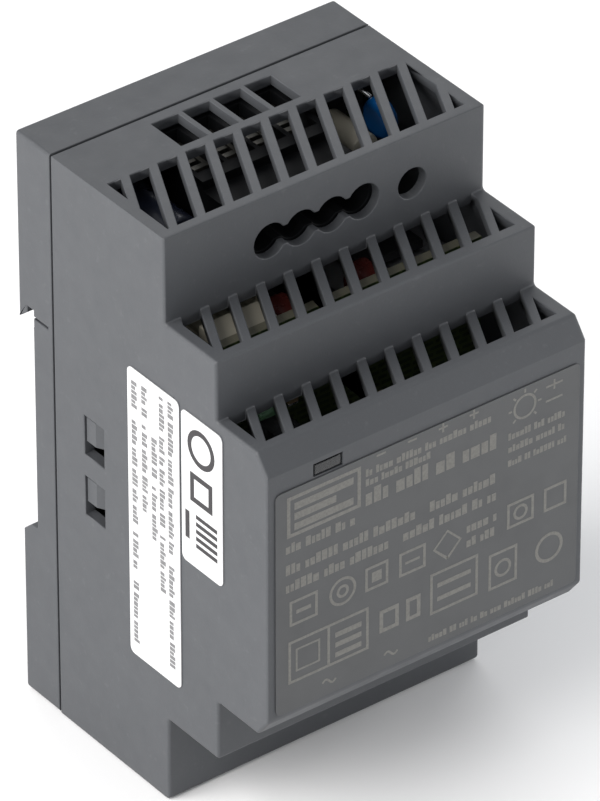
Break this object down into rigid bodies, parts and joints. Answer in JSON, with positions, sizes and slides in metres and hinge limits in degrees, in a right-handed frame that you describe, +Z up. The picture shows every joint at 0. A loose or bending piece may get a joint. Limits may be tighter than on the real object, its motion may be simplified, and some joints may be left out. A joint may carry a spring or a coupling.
{
  "type": "din rail power supply",
  "caption": "Stepped grey plastic case for a DIN rail that turns mains into low-voltage DC, with slanted cooling slots, screw terminals, an adjuster and a pull-down rail clip.",
  "frame": {"origin": "middle of the recess face at the back that rests on the rail, at half the case's width and half its height", "axes": "+X along the rail, to the right as the front is looked at; +Y from the front to the back, out of the rail face; +Z up"},
  "size_m": [0.0527, 0.0545, 0.09],
  "materials": {
    "housing": "fine moulded grain, satin",
    "clip": "satin moulded",
    "spring": "drawn wire",
    "screw": "zinc plated",
    "tinned_metal": "tin plated, satin",
    "circuit_board": "solder mask, semi-gloss",
    "sheet": "smooth film",
    "terminal_plastic": "satin moulded",
    "black_resin": "satin moulded",
    "cream_plastic": "satin moulded",
    "ferrite": "sintered, matt",
    "tape": "wound tape",
    "copper": "enamelled wire",
    "capacitor_sleeve": "heat-shrunk sleeve",
    "yellow_resin": "smooth moulded",
    "blue_resin": "dipped coating",
    "red_resin": "dipped coating",
    "green_resin": "dipped coating",
    "heat_sink": "mill finish",
    "lamp": "clear moulded, unlit",
    "front_film": "printed film, satin",
    "side_paper": "printed label, satin"
  },
  "bodies": {
    "housing": {"rear_base": "housing", "front_housing": "housing", "clip_spring": "spring", "output_contact_1": "tinned_metal", "output_contact_2": "tinned_metal", "output_contact_3": "tinned_metal", "output_contact_4": "tinned_metal", "input_contact_1": "tinned_metal", "input_contact_2": "tinned_metal", "main_board": "circuit_board", "control_board": "circuit_board", "insulation_sheet": "sheet", "output_terminal_body": "terminal_plastic", "input_terminal_body": "terminal_plastic", "board_header": "black_resin", "trimmer_body": "black_resin", "transformer_bobbin": "black_resin", "fuse": "black_resin", "bridge_rectifier": "black_resin", "power_transistor": "black_resin", "output_rectifier": "black_resin", "control_chip": "black_resin", "optocoupler": "cream_plastic", "transformer_core": "ferrite", "choke_core": "ferrite", "transformer_winding": "tape", "choke_winding_left": "copper", "choke_winding_right": "copper", "output_choke": "copper", "bulk_capacitor": "capacitor_sleeve", "output_capacitor_1": "capacitor_sleeve", "output_capacitor_2": "capacitor_sleeve", "output_capacitor_3": "capacitor_sleeve", "interference_capacitor": "yellow_resin", "safety_capacitor": "blue_resin", "varistor": "blue_resin", "film_capacitor_1": "red_resin", "film_capacitor_2": "red_resin", "thermistor": "green_resin", "primary_heat_sink": "heat_sink", "secondary_heat_sink": "heat_sink", "indicator_lamp": "lamp", "indicator_window": "lamp", "front_label": "front_film", "side_label_large": "side_paper", "side_label_small": "side_paper"},
    "rail_clip": {"rail_clip": "clip"},
    "output_screw_1": {"output_screw_1": "screw"},
    "output_cage_1": {"output_cage_1": "tinned_metal"},
    "output_screw_2": {"output_screw_2": "screw"},
    "output_cage_2": {"output_cage_2": "tinned_metal"},
    "output_screw_3": {"output_screw_3": "screw"},
    "output_cage_3": {"output_cage_3": "tinned_metal"},
    "output_screw_4": {"output_screw_4": "screw"},
    "output_cage_4": {"output_cage_4": "tinned_metal"},
    "input_screw_1": {"input_screw_1": "screw"},
    "input_cage_1": {"input_cage_1": "tinned_metal"},
    "input_screw_2": {"input_screw_2": "screw"},
    "input_cage_2": {"input_cage_2": "tinned_metal"},
    "trimmer_rotor": {"trimmer_rotor": "cream_plastic"}
  },
  "joints": [
    {"name": "clip_slide", "type": "slide", "parent": "housing", "child": "rail_clip", "axis": [0, 0, -1], "range_m": [0, 0.004], "stiffness_N_per_m": 1500, "springref_m": -0.003, "deforming": ["clip_spring"]},
    {"name": "output_screw_1_turn", "type": "hinge", "parent": "housing", "child": "output_screw_1", "pos_m": [-0.00915, -0.0189, 0.0378], "axis": [0, 1, 0], "range_deg": [0, 1800]},
    {"name": "output_cage_1_slide", "type": "slide", "parent": "housing", "child": "output_cage_1", "axis": [0, -1, 0], "range_m": [0, 0.0025]},
    {"name": "output_screw_2_turn", "type": "hinge", "parent": "housing", "child": "output_screw_2", "pos_m": [-0.00407, -0.0189, 0.0378], "axis": [0, 1, 0], "range_deg": [0, 1800]},
    {"name": "output_cage_2_slide", "type": "slide", "parent": "housing", "child": "output_cage_2", "axis": [0, -1, 0], "range_m": [0, 0.0025]},
    {"name": "output_screw_3_turn", "type": "hinge", "parent": "housing", "child": "output_screw_3", "pos_m": [0.00101, -0.0189, 0.0378], "axis": [0, 1, 0], "range_deg": [0, 1800]},
    {"name": "output_cage_3_slide", "type": "slide", "parent": "housing", "child": "output_cage_3", "axis": [0, -1, 0], "range_m": [0, 0.0025]},
    {"name": "output_screw_4_turn", "type": "hinge", "parent": "housing", "child": "output_screw_4", "pos_m": [0.00609, -0.0189, 0.0378], "axis": [0, 1, 0], "range_deg": [0, 1800]},
    {"name": "output_cage_4_slide", "type": "slide", "parent": "housing", "child": "output_cage_4", "axis": [0, -1, 0], "range_m": [0, 0.0025]},
    {"name": "input_screw_1_turn", "type": "hinge", "parent": "housing", "child": "input_screw_1", "pos_m": [-0.01631, -0.0189, -0.0378], "axis": [0, 1, 0], "range_deg": [0, 1800]},
    {"name": "input_cage_1_slide", "type": "slide", "parent": "housing", "child": "input_cage_1", "axis": [0, -1, 0], "range_m": [0, 0.0025]},
    {"name": "input_screw_2_turn", "type": "hinge", "parent": "housing", "child": "input_screw_2", "pos_m": [-0.00615, -0.0189, -0.0378], "axis": [0, 1, 0], "range_deg": [0, 1800]},
    {"name": "input_cage_2_slide", "type": "slide", "parent": "housing", "child": "input_cage_2", "axis": [0, -1, 0], "range_m": [0, 0.0025]},
    {"name": "trimmer_turn", "type": "hinge", "parent": "housing", "child": "trimmer_rotor", "pos_m": [0.01415, -0.0194, 0.0374], "axis": [0, 1, 0], "range_deg": [-135, 135]}
  ],
  "couplings": [
    {"joint": "output_screw_1_turn", "follows": "output_cage_1_slide", "rad_per_m": 12566},
    {"joint": "output_screw_2_turn", "follows": "output_cage_2_slide", "rad_per_m": 12566},
    {"joint": "output_screw_3_turn", "follows": "output_cage_3_slide", "rad_per_m": 12566},
    {"joint": "output_screw_4_turn", "follows": "output_cage_4_slide", "rad_per_m": 12566},
    {"joint": "input_screw_1_turn", "follows": "input_cage_1_slide", "rad_per_m": 12566},
    {"joint": "input_screw_2_turn", "follows": "input_cage_2_slide", "rad_per_m": 12566}
  ]
}
